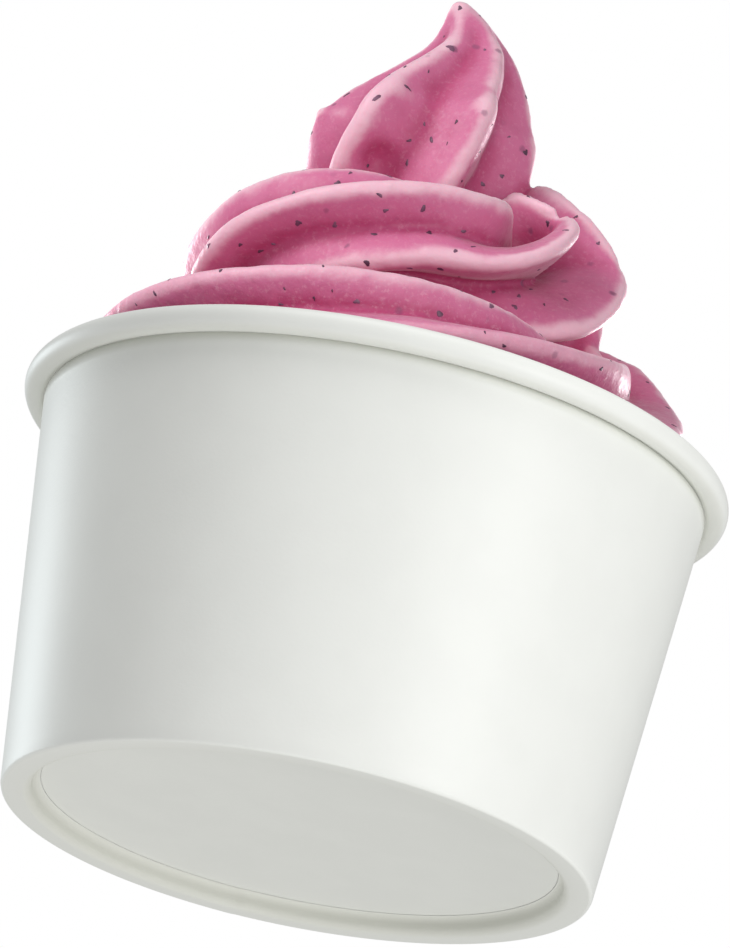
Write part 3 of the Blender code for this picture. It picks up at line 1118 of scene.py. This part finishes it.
@dataclass
class PaperCup:
    """Tapered paper tub: rolled rim, lapped side seam, foot ring and raised bottom."""

    rim_radius: float
    height: float
    disc_low: float
    disc_high: float
    disc_radius: float
    base_radius: float = 39.7 * MM
    roll_radius: float = 1.75 * MM
    wall_top_radius: float = 45.1 * MM
    paper: float = 0.5 * MM
    foot_width: float = 4.0 * MM
    heel: float = 0.6 * MM
    toe: float = 1.1 * MM
    turn: float = 1.0 * MM
    crease_depth: float = 0.22 * MM
    dish: float = 0.25 * MM
    steps: int = 360
    seam_angle: float = math.radians(100.0)

    @property
    def ledge(self) -> float:
        """Height of the step that the bottom disc rests on."""
        return self.disc_low + 0.02 * MM

    @property
    def roll_centre(self) -> tuple[float, float]:
        """Radius and height of the middle of the rolled rim."""
        return self.rim_radius - self.roll_radius, self.height - self.roll_radius

    @property
    def roll_end(self) -> float:
        """Angle round the roll at which its outside meets the wall."""
        return -math.acos((self.wall_top_radius - self.roll_centre[0]) / self.roll_radius)

    @property
    def wall_top(self) -> float:
        """Height at which the roll meets the wall's outside."""
        return self.roll_centre[1] + self.roll_radius * math.sin(self.roll_end)

    def wall_radius(self, height: float | np.ndarray) -> float | np.ndarray:
        """Outer radius of the wall at a height."""
        widening = self.wall_top_radius - self.base_radius
        return self.base_radius + widening * height / self.wall_top

    def swell(self, angle: np.ndarray, height: np.ndarray) -> np.ndarray:
        """Lap of the side seam and the paper's slight waver, in metres.

        The lap steps out by a share of the paper's thickness at the seam and dies away
        over the next few degrees; the waver is a sum of two slow waves.

        Args:
            angle: Angles round the cup in radians.
            height: Heights in metres.

        Returns:
            How much further out the wall lies there.
        """
        past = np.mod(angle - self.seam_angle, math.tau)
        lap = 0.35 * self.paper * np.exp(-past / math.radians(7.0))
        lift = 0.015 * MM * np.sin(3.0 * angle + 60.0 * height)
        return lap + lift + 0.006 * MM * np.sin(7.0 * angle - 90.0 * height)

    def mark_paper(self, mesh: bpy.types.Mesh) -> None:
        """Write how far each point of the wall has turned to the foot's plain side.

        The attribute plain rises from 0 to 1 with the distance in from the wall's
        outside at the foot. The attribute painted_shade_mask, for painted shade, is 1 about the
        round edge of the step and 0.7 in the crease under the roll, and falls off on both sides of
        each.

        Args:
            mesh: Mesh of the wall.
        """
        skin = Skin(mesh)
        x, y, z = skin.points.T
        radius = np.hypot(x, y)
        low = z < 5.0 * MM
        plain = np.clip((self.wall_radius(z) - radius - 0.1 * MM) / (0.4 * MM), 0.0, 1.0)
        edge = self.base_radius - self.foot_width
        # Mask of painted shade about the step's round edge and, below, in the crease under the
        # roll.
        painted_shade_mask = np.exp(-(((radius - edge) / (1.0 * MM)) ** 2)) * low
        crease = self.wall_top - 0.3 * MM
        painted_shade_mask += 0.7 * np.exp(-(((z - crease) / (0.5 * MM)) ** 2))
        skin.mark("plain", plain * low)
        skin.mark("painted_shade_mask", painted_shade_mask)

    def wall_profile(self) -> np.ndarray:
        """Section of the wall, from the roll's inner side down the outside and back up.

        The roll ends in a crease. The wall runs straight down to the heel, the foot is
        flat to its rounded toe, and a round turn leads on to the ledge for the disc.

        Returns:
            Radii and heights in metres.
        """
        roll = arc(self.roll_centre, self.roll_radius, math.pi, self.roll_end, 40)
        r, z = roll[-1]
        depth = self.crease_depth
        crease = np.array([(r - depth, z - 0.02 * MM), (r - depth + 0.02 * MM, z - 0.16 * MM)])
        bottom, top = self.heel * 1.2, z - 0.30 * MM
        levels = np.linspace(top, bottom, 40)
        wall = np.stack([[self.wall_radius(h) for h in levels], levels], axis=1)
        lean = math.atan2(self.wall_top_radius - self.base_radius, z)
        heel = arc((self.base_radius - self.heel, self.heel), self.heel, -lean, -math.pi / 2, 10)
        inner = self.base_radius - self.foot_width
        lip = arc((inner + self.toe, self.toe), self.toe, -math.pi / 2, -math.pi, 10)
        middle = (inner - self.turn, self.ledge - self.turn)
        fold = arc(middle, self.turn, 0.0, math.pi / 2, 10)
        ledge = np.array([(self.wall_radius(self.ledge) - self.paper, self.ledge)])
        inside = np.linspace(self.ledge, self.roll_centre[1] - 1.0 * MM, 12)[1:]
        lining = np.stack([[self.wall_radius(h) - self.paper for h in inside], inside], axis=1)
        return np.concatenate([roll, crease, wall, heel, lip, fold, ledge, lining])

    def build(self) -> list[bpy.types.Object]:
        """Make the wall and the bottom disc.

        Returns:
            The two pieces.
        """
        wall = turned("paper_wall", self.wall_profile(), self.steps, self.swell)
        soft = 0.25 * (self.disc_high - self.disc_low)
        edge = self.disc_radius
        radii = np.linspace(edge - soft, 0.0, 24)
        dish = self.dish * (1.0 - (radii / edge) ** 2)
        under = np.stack([radii, self.disc_low + dish], axis=1)
        over = np.array(
            [(0.0, self.disc_high), (edge - soft, self.disc_high), (edge, self.disc_high - soft)]
        )
        rim = np.array([(edge, self.disc_low + soft)])
        disc = turned("paper_bottom", np.concatenate([over, rim, under]), self.steps)
        self.mark_paper(wall)
        coated = PaperFinish("white_coated_paper").material()
        plain = PaperFinish("white_base_paper", bare=True).material()
        return [
            add_piece("paper_wall", wall, coated, Node.SIDEWALL),
            add_piece("paper_bottom", disc, plain, Node.BASE_DISC),
        ]


# ---------------------------------------------------------------------------
# Studio
# ---------------------------------------------------------------------------


@dataclass(frozen=True)
class SoftBox:
    """Square soft light that faces a point above the cup."""

    name: str
    place: tuple[float, float, float]
    size: float
    power: float
    lit: Reach
    colour: Colour = (1.0, 1.0, 1.0)
    aim: tuple[float, float, float] = (0.0, 0.0, 0.07)

    def build(self, sets: dict[Reach, bpy.types.Collection]) -> None:
        """Add the light.

        Args:
            sets: Collections of the pieces that a light can fall on.
        """
        light = bpy.data.lights.new(self.name, "AREA")
        light.size = self.size
        light.energy = self.power
        light.color = self.colour
        thing = bpy.data.objects.new(self.name, light)
        bpy.context.scene.collection.objects.link(thing)
        thing.location = self.place
        facing = Vector(self.aim) - Vector(self.place)
        thing.rotation_euler = facing.to_track_quat("-Z", "Y").to_euler()
        thing.light_linking.receiver_collection = sets[self.lit]


@dataclass
class Studio:
    """Pale floor, white backdrop, soft boxes and the camera, which looks up at the tub."""

    lights: tuple[SoftBox, ...] = (
        SoftBox("food_key", (-0.58, -0.30, 0.45), 0.30, 3.1, Reach.FOOD),
        SoftBox("food_fill", (0.20, -0.75, 0.00), 0.60, 3.0, Reach.FOOD),
        SoftBox("tub_key", (0.55, -0.55, 0.03), 0.45, 3.1, Reach.TUB),
        SoftBox("tub_top", (-0.10, -0.30, 0.60), 0.40, 1.6, Reach.TUB),
        SoftBox("edge_right", (0.42, 0.72, 0.15), 0.30, 10.0, Reach.FOOD),
        SoftBox("edge_left", (-0.48, 0.68, 0.12), 0.30, 7.0, Reach.FOOD),
        SoftBox("tub_edge", (-0.57, 0.48, 0.10), 0.30, 1.8, Reach.TUB, (0.89, 0.97, 1.0)),
        SoftBox("under", (0.05, -0.10, -0.70), 0.60, 2.3, Reach.TUB),
    )
    ambient: float = 0.42
    camera_distance: float = 0.96
    camera_elevation: float = math.radians(-19.2)
    camera_roll: float = math.radians(11.6)
    foot_across: float = -9.17 * MM
    foot_up: float = -48.95 * MM
    lens: float = 277.0
    floor_drop: float = 0.2 * MM
    floor_radius: float = 1.5
    backdrop_radius: float = 4.0

    def build(self, tub: list[bpy.types.Object], food: list[bpy.types.Object]) -> None:
        """Add everything round the object.

        Args:
            tub: Paper pieces.
            food: Frozen pieces.
        """
        bpy.context.scene.view_settings.view_transform = "Standard"
        self.add_world()
        self.add_backdrop()
        self.add_floor()
        sets = {}
        for reach, pieces in ((Reach.TUB, tub), (Reach.FOOD, food)):
            sets[reach] = bpy.data.collections.new("lit_" + reach.value)
            for piece in pieces:
                sets[reach].objects.link(piece)
        for box in self.lights:
            box.build(sets)
        self.add_camera()

    def add_world(self) -> None:
        """Even white light from all round."""
        world = bpy.data.worlds.new("studio_air")
        world.use_nodes = True
        air = world.node_tree.nodes["Background"]
        air.inputs["Color"].default_value = (1.0, 1.0, 1.0, 1.0)
        air.inputs["Strength"].default_value = self.ambient
        bpy.context.scene.world = world

    @staticmethod
    def add_stage(name: str, work: bmesh.types.BMesh, material: bpy.types.Material) -> None:
        """Put a stage object in the scene, out of the light that falls on the tub.

        Args:
            name: Name of the object.
            work: Its faces, which are freed.
            material: Its material.
        """
        mesh = bpy.data.meshes.new(name)
        work.to_mesh(mesh)
        work.free()
        mesh.shade_smooth()
        mesh.materials.append(material)
        thing = bpy.data.objects.new(name, mesh)
        bpy.context.scene.collection.objects.link(thing)
        for ray in ("diffuse", "glossy", "transmission", "shadow", "volume_scatter"):
            setattr(thing, "visible_" + ray, False)

    def add_backdrop(self) -> None:
        """White sphere round the whole set."""
        work = bmesh.new()
        bmesh.ops.create_uvsphere(work, u_segments=48, v_segments=24, radius=self.backdrop_radius)
        glow = Recipe("white_backdrop").finish(
            Base_Color=(0.0, 0.0, 0.0),
            Specular_IOR_Level=0.0,
            Emission_Color=(1.0, 1.0, 1.0),
            Emission_Strength=1.0,
        )
        self.add_stage("backdrop", work, glow)

    def add_floor(self) -> None:
        """Pale disc just under the foot, seen from above only, which fades out to its rim."""
        work = bmesh.new()
        bmesh.ops.create_circle(work, cap_ends=True, segments=96, radius=self.floor_radius)
        bmesh.ops.translate(work, verts=work.verts, vec=(0.0, 0.0, -self.floor_drop))
        recipe = Recipe("pale_floor")
        recipe.finish(Base_Color=(0.9, 0.9, 0.9), Roughness=0.8)
        far = recipe.node("VectorMath", {0: recipe.place}, operation="LENGTH").outputs["Value"]
        fade = recipe.spread(far, 0.12, 0.7)
        behind = recipe.node("NewGeometry").outputs["Backfacing"]
        open_share = recipe.sums("MAXIMUM", fade, behind)
        clear = recipe.node("BsdfTransparent").outputs[0]
        both = recipe.node("MixShader", {0: open_share, 1: recipe.shader.outputs[0], 2: clear})
        surface = recipe.tree.nodes["Material Output"].inputs["Surface"]
        recipe.feed(surface, both.outputs[0])
        self.add_stage("floor", work, recipe.material)

    def add_camera(self) -> None:
        """Camera below the tub's foot, tipped up and rolled.

        Forward is (0, cos t, -sin t) for the tilt t; right and up are turned about
        it by the roll. The foot lies foot_across to the right and foot_up above the
        middle of the view, at the camera's distance.
        """
        tilt, roll = self.camera_elevation, self.camera_roll
        forward = Vector((0.0, math.cos(tilt), -math.sin(tilt)))
        level = Vector((1.0, 0.0, 0.0))
        above = level.cross(forward)
        right = level * math.cos(roll) + above * math.sin(roll)
        up = above * math.cos(roll) - level * math.sin(roll)
        place = -(right * self.foot_across + up * self.foot_up + forward * self.camera_distance)
        data = bpy.data.cameras.new("camera")
        data.lens = self.lens
        data.sensor_width = 36.0
        data.clip_end = 10.0
        camera = bpy.data.objects.new("camera", data)
        bpy.context.scene.collection.objects.link(camera)
        axes = Matrix((right, up, -forward)).transposed().to_4x4()
        camera.matrix_world = Matrix.Translation(place) @ axes
        bpy.context.scene.camera = camera


def main() -> None:
    """Build the tub, its contents and the studio, and report each piece."""
    logging.basicConfig(level=logging.INFO, format="%(name)s %(message)s")
    _, wall_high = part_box(Node.SIDEWALL.value)
    disc_low, disc_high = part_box(Node.BASE_DISC.value)
    food_low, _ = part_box(Node.YOGURT.value)
    cup = PaperCup(
        rim_radius=wall_high.x,
        height=wall_high.z,
        disc_low=disc_low.z,
        disc_high=disc_high.z,
        disc_radius=disc_high.x,
    )
    tub = cup.build()
    level = 50.0 * MM
    gap = cup.paper + CLEARANCE
    swirl = YogurtSwirl(FlutedRope(), YogurtFinish(), level).build()
    filling = Filling(
        level=level,
        bottom=food_low.z,
        lower=cup.wall_radius(food_low.z) - gap,
        upper=cup.wall_radius(level) - gap,
    ).build(swirl.data.materials[0])
    flecks = FruitFlecks(FleckFinish()).build(swirl, level + 1.0 * MM)
    Studio().build(tub, [swirl, filling, flecks])


if __name__ == "__main__":
    main()
